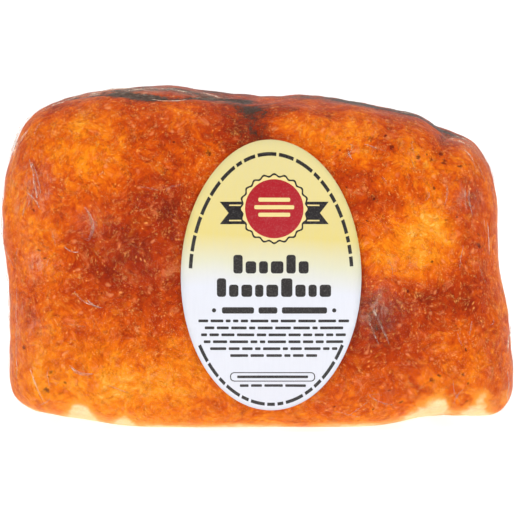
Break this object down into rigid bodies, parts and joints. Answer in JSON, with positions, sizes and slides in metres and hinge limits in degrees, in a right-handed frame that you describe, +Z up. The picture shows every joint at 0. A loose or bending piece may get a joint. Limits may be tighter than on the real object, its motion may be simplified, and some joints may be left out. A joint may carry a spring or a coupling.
{
  "type": "glazed ham joint in clear film",
  "caption": "Loaf-shaped glazed ham joint sealed in a tight clear film, with an oval paper label on its front, standing on a flat base.",
  "frame": {"origin": "middle of the bounding box's footprint, on the surface the joint stands on", "axes": "+X along the joint's length, to the right as seen from the label's side; the label faces -Y; +Z up"},
  "size_m": [0.199, 0.0962, 0.13],
  "materials": {
    "glazed_gammon": "browned orange glaze over meat fibres, wet gloss",
    "clear_film": "thin clear shrink film, glossy, faint haze",
    "label_paper": "smooth coated paper, pale yellow to white, dark print"
  },
  "bodies": {
    "root": {"wrapped_gammon": "glazed_gammon", "label": "label_paper"}
  },
  "joints": []
}
